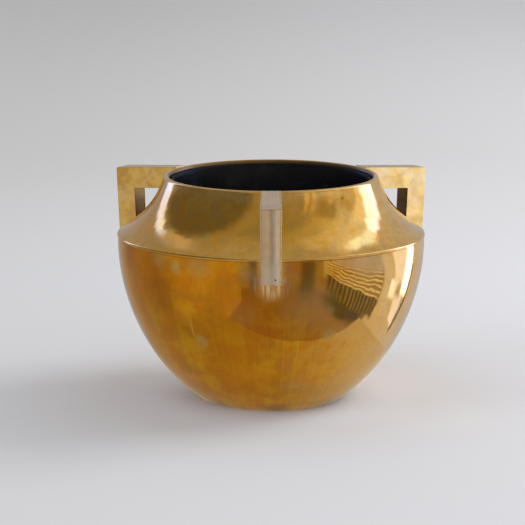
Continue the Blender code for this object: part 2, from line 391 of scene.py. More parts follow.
def plate_outlines():
    """Each strip's outline, in points of (depth under the top, depth behind the outer face)."""
    box_top = SHEET + SEAM
    window_top = TOP_DEPTH - SHEET
    window_side = SIDE_DEPTH - SHEET
    foot = SIDE_LENGTH - SHEET
    return {
        "top_plate": [
            *rounded_corner(pi / 4, 0, further=SEAM),
            (0, TOP_LENGTH),
            (SHEET, TOP_LENGTH),
            (SHEET, box_top),
        ],
        "outer_plate": [
            *rounded_corner(pi / 2, pi / 4, lower=SEAM),
            (box_top, SHEET),
            (SIDE_LENGTH, SHEET),
            (SIDE_LENGTH, 0),
        ],
        "under_plate": [
            (TOP_DEPTH, SIDE_DEPTH + SEAM),
            (TOP_DEPTH, TOP_LENGTH),
            (window_top, TOP_LENGTH),
            (window_top, window_side + SEAM),
        ],
        "inner_plate": [
            (TOP_DEPTH + SEAM, SIDE_DEPTH),
            (foot - SEAM, SIDE_DEPTH),
            (foot - SEAM, window_side),
            (window_top + SEAM, window_side),
        ],
        "foot_plate": [
            (foot, SHEET + SEAM),
            (foot, WEB_REACH),
            (SIDE_LENGTH, WEB_REACH),
            (SIDE_LENGTH, SHEET + SEAM),
        ],
    }


def cheek_outline():
    """The L of a side plate. Its foot reaches in under the window to the ridge and the bowl."""
    return [
        *rounded_corner(pi / 2, 0),
        (0, TOP_LENGTH),
        (TOP_DEPTH, TOP_LENGTH),
        (TOP_DEPTH, SIDE_DEPTH),
        (WEB_START, SIDE_DEPTH),
        (WEB_START, WEB_REACH),
        (SIDE_LENGTH, WEB_REACH),
        (SIDE_LENGTH, 0),
    ]


def pot_room():
    """The room that the pot takes, which the handles are cut to fit."""
    lip = arc(LIP_CENTRE, LIP_ROUND, pi / 3, LIP_JOIN, 8)
    ridge = arc(RIDGE_CENTRE, RIDGE_ROUND, RIDGE_JOIN, 0, 6)
    skirt = [(RIDGE_RADIUS, SKIRT_BOTTOM_Z)]
    wall = belly_path(BELLY_STEPS)
    surface = [*lip, *neck_path(NECK_STEPS // 2), *ridge, *skirt, *wall[: BELLY_STEPS // 2 : 2]]
    surface = [point for point in offset(surface, SEAM) if point[0] > TOP_END_RADIUS]
    above = [(0, KEEP_OUT_TOP_Z), (TOP_END_RADIUS, KEEP_OUT_TOP_Z)]
    outline = [*above, *surface, (0, surface[-1][1])]
    return turned("pot_room", [(outline, 0)], (), closed=False)


def vent_drill():
    """A thin cylinder where the hot air left the closed box as it was soldered, in the handle's own axes."""
    bm = bmesh.new()
    bmesh.ops.create_cone(
        bm, cap_ends=True, segments=24, radius1=VENT_RADIUS, radius2=VENT_RADIUS, depth=6 * SHEET
    )
    drill = meshed("drill", bm)
    outward, up = handle_point(SIDE_LENGTH - VENT_ABOVE_FOOT, SHEET / 2)
    drill.location = (outward, VENT_ACROSS, up)
    drill.rotation_euler = (0, pi / 2 + SIDE_LEAN, 0)
    return drill


def cut(solid, cutter):
    """Takes the cutter out of the solid's mesh."""
    boolean = solid.modifiers.new("cut", "BOOLEAN")
    boolean.object = cutter
    boolean.solver = "EXACT"
    bpy.context.view_layer.update()
    whole = solid.evaluated_get(bpy.context.evaluated_depsgraph_get())
    mesh = bpy.data.meshes.new_from_object(whole)
    solid.modifiers.clear()
    old, solid.data = solid.data, mesh
    bpy.data.meshes.remove(old)


def handles(brasses):
    """Three handles of seven plates each, as (piece, the CAD node that it stands for)."""
    room, drill = pot_room(), vent_drill()
    inside = SHEET + SEAM
    made = []
    for place, degrees in HANDLE_TURNS.items():
        pieces = {
            kind: plate(f"{place}_{kind}", outline, (-1, inside), (1, inside), brasses[PLATE_FINISH[kind]])
            for kind, outline in plate_outlines().items()
        }
        for side, sign in (("left", -1), ("right", 1)):
            kind = f"{side}_cheek"
            cheek = plate(f"{place}_{kind}", cheek_outline(), (sign, 0), (sign, SHEET), brasses["cheek"])
            cheek.data.materials.append(brasses["upright"])
            cheek.data.materials.append(brasses["hidden"])
            for face in cheek.data.polygons:
                narrow = abs(face.normal.y) < NARROW_FACE
                inward = face.normal.x + face.normal.z < INWARD_FACE
                face.material_index = int(narrow) + int(narrow and inward)
            pieces[kind] = cheek
        cut(pieces["outer_plate"], drill)
        for kind, piece in pieces.items():
            if kind not in ("outer_plate", "inner_plate"):
                cut(piece, room)
            piece.rotation_euler = (0, 0, radians(degrees))
            piece.data.shade_smooth()
            piece.data.set_sharp_from_angle(angle=SHARP_ANGLE)
            smooth = piece.modifiers.new("flat_faces", "WEIGHTED_NORMAL")
            smooth.keep_sharp = True
            made.append((piece, f"handle_{place}_{kind}"))
    for helper in (room, drill):
        bpy.data.objects.remove(helper)
    return made


# Materials

AMBER = (0.76, 0.300, 0.008)
HONEY = (0.84, 0.425, 0.020)
UMBER = (0.54, 0.215, 0.014)
# Darker brass towards the belly's foot
FOOT_DARKENING = (0.30, 0.135, 0.030)
RUST = (0.74, 0.255, 0.010)
RIGHT_PALE = (0.88, 0.54, 0.180)
DRIP = (0.95, 0.62, 0.160)
STAIN_COLOUR = (0.54, 0.40, 0.17)
HEAT_COLOUR = (0.58, 0.40, 0.23)
# A painted reflection of the handles' feet, as pale streaks under them
FOOT_REFLECTION_COLOUR = (0.95, 0.68, 0.38)
# Tarnish for the neck's dark specks, and also the painted shade on the lip's inner side
TARNISH_AND_LIP_SHADE = (0.085, 0.052, 0.022)
NECK_GOLD = (0.82, 0.415, 0.045)
NECK_PALE = (0.84, 0.510, 0.150)
NECK_AMBER = (0.76, 0.345, 0.022)
NECK_OLIVE = (0.56, 0.345, 0.080)
FACE_STREAK = (0.58, 0.42, 0.26)
FACE_MOTTLE = (0.70, 0.46, 0.24)
# A painted highlight on the outer plates' lower part
FACE_FOOT_HIGHLIGHT = (0.76, 0.66, 0.54)
FACE_EDGE = (0.42, 0.29, 0.15)
BLACK = (0.003, 0.0034, 0.0045)
DUST = (0.011, 0.012, 0.014)

# Raw sheet, as its pale, deep and ring colours: inside the pot, and in the handles' finger gaps
SHEET_COLOURS = ((0.42, 0.26, 0.09), (0.24, 0.15, 0.06), (0.52, 0.36, 0.14))
GAP_COLOURS = ((0.155, 0.092, 0.020), (0.070, 0.042, 0.010), (0.22, 0.135, 0.035))

# Satin plates, as their pale, deep and stain colours and their least roughness
CHAMPAGNE = ((0.86, 0.66, 0.42), (0.68, 0.50, 0.31), (0.72, 0.56, 0.38), 0.20)
GOLDEN = ((0.86, 0.60, 0.22), (0.66, 0.42, 0.13), (0.82, 0.63, 0.35), 0.22)

# How their streaks are stretched
UPRIGHT = (230, 230, 3)
LEVEL = (3, 230, 230)
UNSTREAKED = (60, 60, 40)

# The brass is paler towards the pot's right side. Its edge wanders this far, and the sweep goes between these
# places.
RIGHT_PALE_WANDER = 0.16
RIGHT_PALE_SWEEP = (0.01, 0.10)

# Each layer is its colour, and then steps as (pattern, low, high, share at low, share at high). Each step
# makes a share of its pattern, and the layer covers what is under it by the product of its shares. Heights
# and distances are in metres.
BELLY_LAYERS = (
    (HONEY, ("broad", 0.38, 0.62, 0, 1)),
    (UMBER, ("blotches", 0.42, 0.66, 0, 0.80)),
    (HONEY, ("blotches", 0.28, 0.46, 0.45, 0)),
    (RUST, ("mist", 0.46, 0.64, 0, 0.60)),
    (UMBER, ("runs", 0.46, 0.66, 0, 0.24)),
    (UMBER, ("hair", 0.50, 0.70, 0, 1), ("mist", 0.40, 0.62, 0.08, 0.42)),
    (RIGHT_PALE, ("right", *RIGHT_PALE_SWEEP, 0, 1), ("blotches", 0.36, 0.64, 1, 0.72)),
    (UMBER, ("grain", 0.50, 0.75, 0, 0.22)),
    (DRIP, ("drips", 0.0015, 0.006, 1, 0), ("height", 0.085, 0.108, 0.62, 0), ("broad", 0.40, 0.55, 0, 1)),
    # Darker towards the foot
    (FOOT_DARKENING, ("height", 0.001, 0.014, 1, 0), ("blotches", 0.35, 0.6, 0.2, 0.8)),
    (HEAT_COLOUR, ("ragged_foot", 0.018, 0.045, 0.80, 0), ("mist", 0.38, 0.60, 0.35, 1)),
    # Pale streaks under the handles' feet: a painted reflection of the feet
    (
        FOOT_REFLECTION_COLOUR,
        ("foot", 0.010, 0.024, 0.75, 0),
        ("foot_reflection_streaks", 0.46, 0.60, 0, 1),
        ("height", 0.142, 0.150, 1, 0),
    ),
)
NECK_GROUND = (
    (NECK_AMBER, ("broad", 0.42, 0.58, 0, 0.80)),
)
NECK_LAYERS = (
    (NECK_OLIVE, ("wiped", 0.44, 0.66, 0, 0.75)),
    (NECK_PALE, ("wiped", 0.30, 0.46, 0.45, 0)),
    (NECK_AMBER, ("mist", 0.48, 0.68, 0, 0.70)),
    (NECK_OLIVE, ("mist", 0.30, 0.44, 0.35, 0)),
    (NECK_OLIVE, ("grain", 0.52, 0.74, 0, 0.30)),
    (NECK_PALE, ("lines", 0.52, 0.72, 0, 0.12)),
    (TARNISH_AND_LIP_SHADE, ("mist", 0.68, 0.76, 0, 0.7), ("height", 0.166, 0.170, 0, 1)),
)
FACE_LAYERS = (
    (FACE_STREAK, ("streaks", 0.46, 0.66, 0, 0.35)),
    (FACE_MOTTLE, ("mottle", 0.42, 0.62, 0, 0.22)),
    # The plate's lower part is paler: a painted highlight
    (FACE_FOOT_HIGHLIGHT, ("height", 0.148, 0.172, 0.85, 0), ("wander", 0.4, 0.6, 0.5, 1)),
    (FACE_EDGE, ("side", 0.0080, 0.0088, 0, 0.35), ("wander", 0.35, 0.55, 0.6, 1)),
)

# The painted shade on the lip's inner side and the liner's matt collar, as steps over the distance from the
# axis
INNER_LIP_SHADE = (LIP_RADIUS - 0.0025, LIP_RADIUS - 0.0006, 0.85, 0)
MATT_COLLAR = (LINER_COLLAR_RADIUS - 0.0034, LINER_COLLAR_RADIUS - 0.0026, 0, 0.45)

# The bands across an outer plate, as (share of the width, colour): wiped bands, but the pale ones near
# the plate's +Y edge are a painted highlight
FACE_BANDS_AND_HIGHLIGHT = (
    (0.06, (0.68, 0.49, 0.30)),
    (0.18, (0.74, 0.52, 0.33)),
    (0.34, (0.80, 0.56, 0.29)),
    (0.44, (0.66, 0.47, 0.25)),
    (0.53, (0.46, 0.37, 0.26)),
    (0.63, (0.66, 0.52, 0.37)),
    (0.78, (0.98, 0.76, 0.50)),
    (0.92, (0.96, 0.67, 0.38)),
)
BAND_WANDER = 0.005

# The bloom at the handles' feet
HEAT_RADIUS = 0.1480
HEAT_Z = 0.1440
HEAT_RAGGEDNESS = 0.030

# Stains on the belly, as (azimuth in degrees, height, size, strength)
STAIN_RAGGEDNESS = 0.014
STAINS = (
    (-36, 0.1500, 0.009, 0.55),
    (-44, 0.1560, 0.016, 0.35),
    (-27, 0.1550, 0.018, 0.35),
    (-8, 0.1480, 0.014, 0.35),
    (-29, 0.0790, 0.011, 0.55),
    (22, 0.1120, 0.009, 0.45),
    (23, 0.0880, 0.011, 0.45),
    (15, 0.1180, 0.040, 0.30),
    (-10, 0.1100, 0.020, 0.20),
    (104, 0.1050, 0.013, 0.45),
    (152, 0.0660, 0.016, 0.40),
    (-118, 0.1200, 0.014, 0.35),
    (-152, 0.1480, 0.018, 0.35),
)


def feed(tree, made, inputs):
    """Gives a node's inputs plain values, or the sockets that feed them."""
    for name, value in inputs.items():
        if isinstance(value, bpy.types.NodeSocket):
            tree.links.new(value, made.inputs[name])
        else:
            made.inputs[name].default_value = value


def node(tree, kind, inputs=None, **settings):
    made = tree.nodes.new(kind)
    for name, value in settings.items():
        setattr(made, name, value)
    feed(tree, made, inputs or {})
    return made


def maths(tree, operation, *values):
    return node(tree, "ShaderNodeMath", dict(enumerate(values)), operation=operation).outputs[0]


def vector_maths(tree, operation, *values):
    return node(tree, "ShaderNodeVectorMath", dict(enumerate(values)), operation=operation).outputs


def product(tree, first, *others):
    for other in others:
        first = maths(tree, "MULTIPLY", first, other)
    return first


def smooth_step(tree, value, low, high, start=0.0, end=1.0):
    """Rises from start to end as the value goes from low to high."""
    inputs = {"Value": value, "From Min": low, "From Max": high, "To Min": start, "To Max": end}
    return node(tree, "ShaderNodeMapRange", inputs, interpolation_type="SMOOTHSTEP").outputs["Result"]


def mixed(tree, share, first, second, blend="MIX"):
    made = node(tree, "ShaderNodeMix", {0: share}, data_type="RGBA", blend_type=blend)
    for slot, colour in ((6, first), (7, second)):
        feed(tree, made, {slot: (*colour, 1) if isinstance(colour, tuple) else colour})
    return made.outputs[2]


def layered(tree, colour, patterns, layers):
    """The colour with these layers over it."""
    for tint, *steps in layers:
        shares = [smooth_step(tree, patterns[pattern], *step) for pattern, *step in steps]
        colour = mixed(tree, product(tree, *shares), colour, tint)
    return colour


def cloud(tree, vector, scale=1.0, detail=3.0, roughness=0.5, distortion=0.0):
    inputs = {
        "Vector": vector,
        "Scale": scale,
        "Detail": detail,
        "Roughness": roughness,
        "Distortion": distortion,
    }
    return node(tree, "ShaderNodeTexNoise", inputs).outputs["Fac"]


def stretched(tree, vector, scale, place=(0, 0, 0)):
    inputs = {"Vector": vector, "Scale": scale, "Location": place}
    return node(tree, "ShaderNodeMapping", inputs).outputs["Vector"]


def blank_material(name):
    """A material with its node tree, its Principled shader, and object coordinates in metres."""
    material = bpy.data.materials.new(name)
    material.use_nodes = True
    tree = material.node_tree
    return material, tree, tree.nodes["Principled BSDF"], node(tree, "ShaderNodeTexCoord").outputs["Object"]


def coordinate(tree, place, axis):
    return node(tree, "ShaderNodeSeparateXYZ", {0: place}).outputs[axis]


def flattened(tree, place):
    return vector_maths(tree, "MULTIPLY", place, (1, 1, 0))["Vector"]


def from_axis(tree, place):
    """The distance from the pot's axis."""
    return vector_maths(tree, "LENGTH", flattened(tree, place))["Value"]


def round_pot(tree, place):
    """(cos, sin, height / radius): coordinates that follow the turned shape with no seam."""
    unit = vector_maths(tree, "NORMALIZE", flattened(tree, place))["Vector"]
    height = maths(tree, "DIVIDE", coordinate(tree, place, "Z"), RIDGE_RADIUS)
    inputs = {"X": coordinate(tree, unit, "X"), "Y": coordinate(tree, unit, "Y"), "Z": height}
    return node(tree, "ShaderNodeCombineXYZ", inputs).outputs[0]


def bump(tree, height, distance, strength, under=None):
    """Fine relief, over another bump if there is one."""
    inputs = {"Height": height, "Distance": distance, "Strength": strength}
    if under:
        inputs["Normal"] = under
    return node(tree, "ShaderNodeBump", inputs).outputs["Normal"]


def right_side(tree, place, cloudy):
    """How far towards +X a place lies, with a wandering edge."""
    across = coordinate(tree, place, "X")
    return maths(tree, "ADD", across, maths(tree, "MULTIPLY_ADD", cloudy, RIGHT_PALE_WANDER, -RIGHT_PALE_WANDER / 2))


def stain_share(tree, place, cloudy):
    """How strong the few dull stains are at a place of the belly."""
    ragged = maths(tree, "MULTIPLY_ADD", cloudy, STAIN_RAGGEDNESS, -STAIN_RAGGEDNESS / 2)
    spots = []
    for azimuth, height, size, strength in STAINS:
        turn = radians(azimuth)
        radius = belly_radius(height)
        centre = (radius * sin(turn), -radius * cos(turn), height)
        away = vector_maths(tree, "DISTANCE", place, centre)["Value"]
        spots.append(smooth_step(tree, maths(tree, "ADD", away, ragged), size * 0.2, size, strength, 0))
    total = spots[0]
    for spot in spots[1:]:
        total = maths(tree, "MAXIMUM", total, spot)
    return total


def from_foot(tree, place):
    """The distance to the nearest handle's foot."""
    near = None
    for degrees in HANDLE_TURNS.values():
        turn = radians(degrees)
        centre = (HEAT_RADIUS * cos(turn), HEAT_RADIUS * sin(turn), HEAT_Z)
        away = vector_maths(tree, "DISTANCE", place, centre)["Value"]
        near = maths(tree, "MINIMUM", near, away) if near else away
    return near


def belly_brass():
    """Polished brass under an amber patina: blotches, fine runs down the belly, drip lines, dull stains and
    a grey-brown bloom where the handles' feet were soldered, with pale streaks under the feet that are a
    painted reflection of the feet."""
    material, tree, shader, place = blank_material("belly_brass")
    round_place = round_pot(tree, place)
    wavering = cloud(tree, stretched(tree, round_place, (6, 6, 0.3)), detail=0)
    foot = from_foot(tree, place)
    patterns = {
        "height": coordinate(tree, place, "Z"),
        "broad": cloud(tree, place, 9, 3, 0.55),
        "blotches": cloud(tree, place, 26, 5, 0.62, 0.25),
        "mist": cloud(tree, place, 48, 4, 0.6, 0.3),
        "grain": cloud(tree, place, 170, 4, 0.65),
        "runs": cloud(tree, stretched(tree, round_place, (22, 22, 1.3)), 1.0, 4, 0.6),
        "hair": cloud(tree, stretched(tree, round_place, (110, 110, 3)), 1.0, 3, 0.6),
        "drips": maths(tree, "ABSOLUTE", maths(tree, "SUBTRACT", wavering, 0.5)),
        "foot": foot,
        "foot_reflection_streaks": cloud(tree, stretched(tree, round_place, (34, 34, 3.5)), 1.0, 2, 0.6, 0.3),
    }
    blotches = patterns["blotches"]
    patterns["right"] = right_side(tree, place, blotches)
    patterns["ragged_foot"] = maths(tree, "MULTIPLY_ADD", blotches, HEAT_RAGGEDNESS, foot)
    stain = stain_share(tree, place, blotches)
    uneven = bump(tree, cloud(tree, place, 45, 2, 0.4), 0.0003, 0.6)
    texture = mixed(tree, 0.5, patterns["hair"], patterns["grain"])
    haze = smooth_step(tree, blotches, 0.40, 0.75, 0.03, 0.10)
    inputs = {
        "Base Color": mixed(tree, stain, layered(tree, AMBER, patterns, BELLY_LAYERS), STAIN_COLOUR),
        "Roughness": maths(tree, "MULTIPLY_ADD", stain, 0.30, haze),
        "Metallic": smooth_step(tree, stain, 0.0, 1.0, 1.0, 0.75),
        "Coat Weight": 0.15,
        "Coat Roughness": 0.08,
        "Normal": bump(tree, texture, 0.00002, 0.6, uneven),
    }
    feed(tree, shader, inputs)
    return material


def neck_brass():
    """Cleaner polished brass with wiped smears of amber and olive patina, dark specks, faint turning lines
    and painted shade on the inner side of the lip."""
    material, tree, shader, place = blank_material("neck_brass")
    height = coordinate(tree, place, "Z")
    patterns = {
        "height": height,
        "broad": cloud(tree, place, 15, 3, 0.55, 0.5),
        "wiped": cloud(tree, stretched(tree, place, (30, 30, 42), (0.3, 0.1, 0.7)), 1.0, 6, 0.68, 0.4),
        "mist": cloud(tree, place, 90, 4, 0.6),
        "grain": cloud(tree, place, 210, 4, 0.65),
        "lines": cloud(tree, stretched(tree, round_pot(tree, place), (1.6, 1.6, 150)), 1.0, 3, 0.55),
    }
    paler_right = smooth_step(tree, right_side(tree, place, patterns["broad"]), *RIGHT_PALE_SWEEP)
    ridge_side = smooth_step(tree, height, 0.160, 0.185, 0.65, 0)
    lip_side = smooth_step(tree, height, 0.203, 0.214)
    pale = maths(tree, "MAXIMUM", paler_right, maths(tree, "MAXIMUM", ridge_side, lip_side))
    # The lip's inner side is darkened: painted shade
    inner_lip_shade = smooth_step(tree, from_axis(tree, place), *INNER_LIP_SHADE)
    colour = layered(tree, NECK_GOLD, patterns, NECK_GROUND)
    colour = mixed(tree, maths(tree, "MULTIPLY", pale, 0.8), colour, NECK_PALE)
    colour = layered(tree, colour, patterns, NECK_LAYERS)
    haze = smooth_step(tree, patterns["wiped"], 0.44, 0.66, 0.05, 0.14)
    uneven = bump(tree, cloud(tree, place, 40, 2, 0.4), 0.0008, 0.6)
    inputs = {
        "Base Color": mixed(tree, inner_lip_shade, colour, TARNISH_AND_LIP_SHADE),
        "Roughness": maths(tree, "MULTIPLY_ADD", inner_lip_shade, 0.45, haze),
        "Metallic": 1,
        "Coat Weight": 0.22,
        "Coat Roughness": 0.08,
        "Normal": bump(tree, patterns["lines"], 0.00004, 0.3, uneven),
    }
    feed(tree, shader, inputs)
    return material


def raw_brass(name, pale, deep, ring):
    """Unpolished sheet: dull brown brass with turning rings."""
    material, tree, shader, place = blank_material(name)
    patterns = {
        "rings": cloud(tree, stretched(tree, round_pot(tree, place), (1.5, 1.5, 90)), 1.0, 3, 0.6),
        "stain": cloud(tree, place, 22, 5, 0.6, 0.5),
    }
    layers = ((deep, ("stain", 0.35, 0.7, 0, 1)), (ring, ("rings", 0.45, 0.7, 0, 0.4)))
    inputs = {
        "Base Color": layered(tree, pale, patterns, layers),
        "Roughness": maths(tree, "MULTIPLY_ADD", patterns["stain"], 0.3, 0.3),
        "Metallic": 1,
        "Normal": bump(tree, patterns["rings"], 0.0002, 0.5),
    }
    feed(tree, shader, inputs)
    return material


def satin_brass(name, pale, deep, stain, least_roughness, mottling, streaking, stretch):
    """Satin, mottled brass with streaks along one axis, for the handles' plates."""
    material, tree, shader, place = blank_material(name)
    here = node(tree, "ShaderNodeNewGeometry").outputs["Position"]
    patterns = {
        "mottle": cloud(tree, here, 85, 5, 0.65, 0.4),
        "broad": cloud(tree, here, 34, 4, 0.6, 0.2),
        "streaks": cloud(tree, stretched(tree, place, stretch), 1.0, 3, 0.55),
    }
    layers = (
        (deep, ("mottle", 0.40, 0.66, 0, mottling)),
        (deep, ("streaks", 0.42, 0.60, 0, streaking)),
        (stain, ("broad", 0.46, 0.66, 0, 0.80)),
    )
    grain = cloud(tree, stretched(tree, place, tuple(5 * part for part in stretch)), 1.0, 2, 0.6)
    inputs = {
        "Base Color": layered(tree, pale, patterns, layers),
        "Roughness": maths(tree, "MULTIPLY_ADD", patterns["mottle"], 0.18, least_roughness),
        "Metallic": 1,
        "Normal": bump(tree, grain, 0.00003, 0.4),
    }
    feed(tree, shader, inputs)
    return material


def banded_and_highlit_brass():
    """The outer plates: raw brass with long wiped bands down the plate and dark solder along its edges, and a
    painted highlight in the pale bands near its +Y edge and on its lower part.
    """
    material, tree, shader, place = blank_material("banded_and_highlit_brass")
    across = coordinate(tree, place, "Y")
    patterns = {
        "height": coordinate(tree, place, "Z"),
        "side": maths(tree, "ABSOLUTE", across),
        "wander": cloud(tree, stretched(tree, place, (60, 90, 26)), 1.0, 3, 0.6),
        "streaks": cloud(tree, stretched(tree, place, (300, 700, 6)), 1.0, 3, 0.55),
        "mottle": cloud(tree, place, 90, 3, 0.55),
    }
    wander = maths(tree, "SUBTRACT", patterns["wander"], 0.5)
    shifted = maths(tree, "MULTIPLY_ADD", wander, BAND_WANDER, across)
    share = maths(tree, "MULTIPLY_ADD", shifted, 0.5 / CORNER_HALF_WIDTH, 0.5)
    ramp = node(tree, "ShaderNodeValToRGB", {"Fac": share})
    stops = ramp.color_ramp.elements
    # Wiped bands, with a painted highlight in the pale ones
    for where, colour in FACE_BANDS_AND_HIGHLIGHT:
        stops.new(where).color = (*colour, 1)
    stops.remove(stops[0])
    stops.remove(stops[-1])
    inputs = {
        "Base Color": layered(tree, ramp.outputs["Color"], patterns, FACE_LAYERS),
        "Roughness": maths(tree, "MULTIPLY_ADD", patterns["mottle"], 0.18, 0.18),
        "Metallic": 1,
        "Normal": bump(tree, patterns["streaks"], 0.00003, 0.4),
    }
    feed(tree, shader, inputs)
    return material


def black_gloss():
    """Glossy black enamel with faint ripples and dust, and a matt collar."""
    material, tree, shader, place = blank_material("black_gloss")
    dust = cloud(tree, place, 40, 5, 0.65)
    matt = smooth_step(tree, from_axis(tree, place), *MATT_COLLAR)
    inputs = {
        "Base Color": mixed(tree, smooth_step(tree, dust, 0.5, 0.75), BLACK, DUST),
        "Roughness": maths(tree, "ADD", smooth_step(tree, dust, 0.4, 0.75, 0.26, 0.40), matt),
        "Specular IOR Level": 0.21,
        "Normal": bump(tree, cloud(tree, place, 260, 2, 0.5), 0.0001, 0.2),
    }
    feed(tree, shader, inputs)
    return material


# Studio


NEUTRAL = (1.0, 0.985, 0.97)
WARM = (1.0, 0.88, 0.66)
EARTH = (1.0, 0.80, 0.66)
COOL = (0.96, 1.0, 1.12)
ROOM_LEFT = (0.43, 0.425, 0.42)
ROOM_RIGHT = (0.70, 0.69, 0.68)
ROOM_SWEEP = (-0.1, 0.95)
SKY_LEFT = (0.60, 0.60, 0.605)
SKY_RIGHT = (0.79, 0.785, 0.79)
SKY_SWEEP = (-0.9, 0.9)
BACKDROP_LIGHT = (0.60, 0.60, 0.61)

# The room that the brass reflects: the ceiling lies under the doorway, and the panels over it. Each panel
# lies over those before it, as (azimuth limits at its lower end, azimuth limits at its upper end, elevation
# limits, softness of its sides and of its ends, brightness, colour), with angles in degrees.
CEILING = {
    "dim ceiling in front": ((-80, 48), (-80, 48), (24, 82), 16, 12, 0.37, NEUTRAL),
}
PANELS = {
    "low wall, left": ((-150, -24), (-150, -24), (-90, -2), 4, 3, 0.54, WARM),
    "low wall's foot, left": ((-150, -40), (-150, -40), (-90, -36), 6, 4, 0.40, WARM),
    "far low wall, left": ((-150, -83), (-150, -83), (-90, -2), 18, 3, 0.36, WARM),
    "dark floor": ((-46, 78), (-20.5, 96), (-46, -30), 1.0, 0.2, 0.35, EARTH),
    "dark floor, near": ((-120, 80), (-46, 78), (-90, -45.5), 1.0, 0.2, 0.35, EARTH),
    "dark floor, far": ((-24, 97), (-22, 97), (-30.5, -24), 1.0, 0.5, 0.35, EARTH),
    "dark floor, beyond": ((-9, 97), (-9, 97), (-25, -2), 2, 1, 0.35, EARTH),
    "darker floor, right": ((60, 88), (36, 80), (-41, -28), 6, 3, 0.12, NEUTRAL),
    "post beside the front handle": ((-16, -9), (-16, -9), (-24, 4), 2, 4, 0.21, NEUTRAL),
    "pale board in front": ((-9, 9), (-9, 9), (-30, 6), 3, 6, 0.56, NEUTRAL),
    "dark curtain": ((21, 33), (23, 33), (-30, 2), 3, 6, 0.16, NEUTRAL),
    "pale far wall, right": ((41, 94), (37, 90), (-18, 4), 2, 2, 0.52, (1.0, 1.06, 1.45)),
    "jamb": ((106, 116), (88, 95), (-32, -6), 1.5, 1, 0.73, COOL),
    "glow beside the window": ((72, 126), (86, 126), (24, 72), 14, 12, 0.80, COOL),
    "window's near side": ((121, 131), (97, 125), (-30.6, -2), 1.5, 0.5, 1.2, (0.92, 1.02, 1.38)),
    "window's bright corner": ((107, 116), (106, 112), (-25.5, -19.5), 1.5, 1.0, 1.5, (1.0, 1.1, 1.6)),
    "window's upper near side": ((96, 126), (101, 130), (-2, 50), 5, 6, 1.05, (1.0, 1.04, 1.25)),
    "tall window": ((124, 134), (120, 129), (-21, 10), 1.2, 2, 8.0, NEUTRAL),
    "tall window, upper part": ((104, 129.5), (122, 133), (4, 45), 3, 7, 2.0, (1.1, 1.2, 2.6)),
    "window's top": ((108, 130), (116, 136), (42, 61), 6, 4, 0.95, COOL),
    "window's foot": ((119, 137), (125, 134), (42, 57), 3, 4, 1.25, (1.0, 1.3, 1.95)),
    "dim patch in the window": ((116, 125), (117.5, 121.5), (-23.8, -19.8), 1.6, 1.2, 0.56, NEUTRAL),
    "window's edge": ((132, 135), (134.5, 137), (-30.8, -14), 0.7, 1, 0.15, NEUTRAL),
    "narrow window, left": ((-141, -126), (-138, -132), (2, 38), 2, 4, 1.5, (0.78, 1.15, 3.2)),
    "narrow window's top, left": ((-139, -128), (-136, -120), (38, 57), 3, 4, 0.62, (1.0, 1.0, 1.3)),
    "ochre wall, right": ((54, 76), (50, 80), (26, 48), 7, 5, 0.44, WARM),
    "pale wall, right": ((79, 100), (79, 96), (18, 36), 3, 5, 0.62, NEUTRAL),
    "lamp, right": ((84.5, 87.5), (84.5, 87.5), (38.5, 41.5), 1, 1, 0.85, NEUTRAL),
    "light strip, right": ((37, 42), (37, 42), (20, 42), 2, 8, 0.74, WARM),
    "second light strip, right": ((46, 50), (46, 50), (20, 40), 2, 8, 0.80, WARM),
    "third light strip, right": ((64, 72), (64, 70), (18, 30), 2, 4, 0.74, NEUTRAL),
}

# A dark, round-headed opening on the left, as its middle and its reach in azimuth and elevation. Its head
# fades out between these shares of the reach, and it is cut off softly at its left edge and at its foot.
DOORWAY_MIDDLE = (-78, 22)
DOORWAY_REACH = (62, 43.5)
DOORWAY_HEAD = (0.82, 1.08)
DOORWAY_EDGE = (-134, -120)
DOORWAY_FOOT = (7, 14)
DOORWAY_LIGHT = (0.175, 0.180, 0.20)

# A slatted blind over a railing, on the right, across these azimuths. Both follow a curve that sinks towards
# the right. It starts at its drop above its foot, and is nearly two thirds of the drop lower after its reach.
# Shading gives the limits of a sine wave between a gap and a slat or bar.
SLATS_ACROSS = (42, 96)
SLATS_SOFTNESS = 0.8
SLAT_PITCH = 2.0
SLAT_WAVE = 1.6
SLAT_WAVE_SCALE = 0.07
SLATS_HEIGHT = 13.0
SLAT_CURVE_FOOT = -28
SLAT_CURVE_DROP = 13
SLAT_CURVE_REACH = 18
SLAT_SHADING = (-0.2, 0.8)
SLAT_LIGHT = (0.78, 0.76, 0.66)
SLAT_GAP = (0.36, 0.30, 0.19)
BAR_PITCH = 3.8
BAR_LENGTH = 8.5
BAR_SOFTNESS = 0.6
BAR_SHADING = (-0.3, 0.9)
BAR_LIGHT = (0.29, 0.265, 0.20)
BAR_GAP = (0.115, 0.105, 0.08)


def between(tree, value, low, high, soft):
    """1 between the limits, which may be sockets, and 0 outside them, with soft edges."""
    rise = smooth_step(tree, maths(tree, "SUBTRACT", value, low), -soft, soft)
    fall = smooth_step(tree, maths(tree, "SUBTRACT", high, value), -soft, soft)
    return maths(tree, "MULTIPLY", rise, fall)


def sloping(tree, value, limits, ends):
    """Goes straight from one end to the other as the value goes between the limits."""
    names = ("Value", "From Min", "From Max", "To Min", "To Max")
    return node(tree, "ShaderNodeMapRange", dict(zip(names, (value, *limits, *ends)))).outputs["Result"]


def with_panels(tree, azimuth, elevation, light, panels):
    for low_limits, high_limits, up, side_soft, end_soft, brightness, colour in panels.values():
        left = sloping(tree, elevation, up, (low_limits[0], high_limits[0]))
        right = sloping(tree, elevation, up, (low_limits[1], high_limits[1]))
        across = between(tree, azimuth, left, right, side_soft)
        share = maths(tree, "MULTIPLY", across, between(tree, elevation, *up, end_soft))
        light = mixed(tree, share, light, tuple(brightness * part for part in colour))
    return light


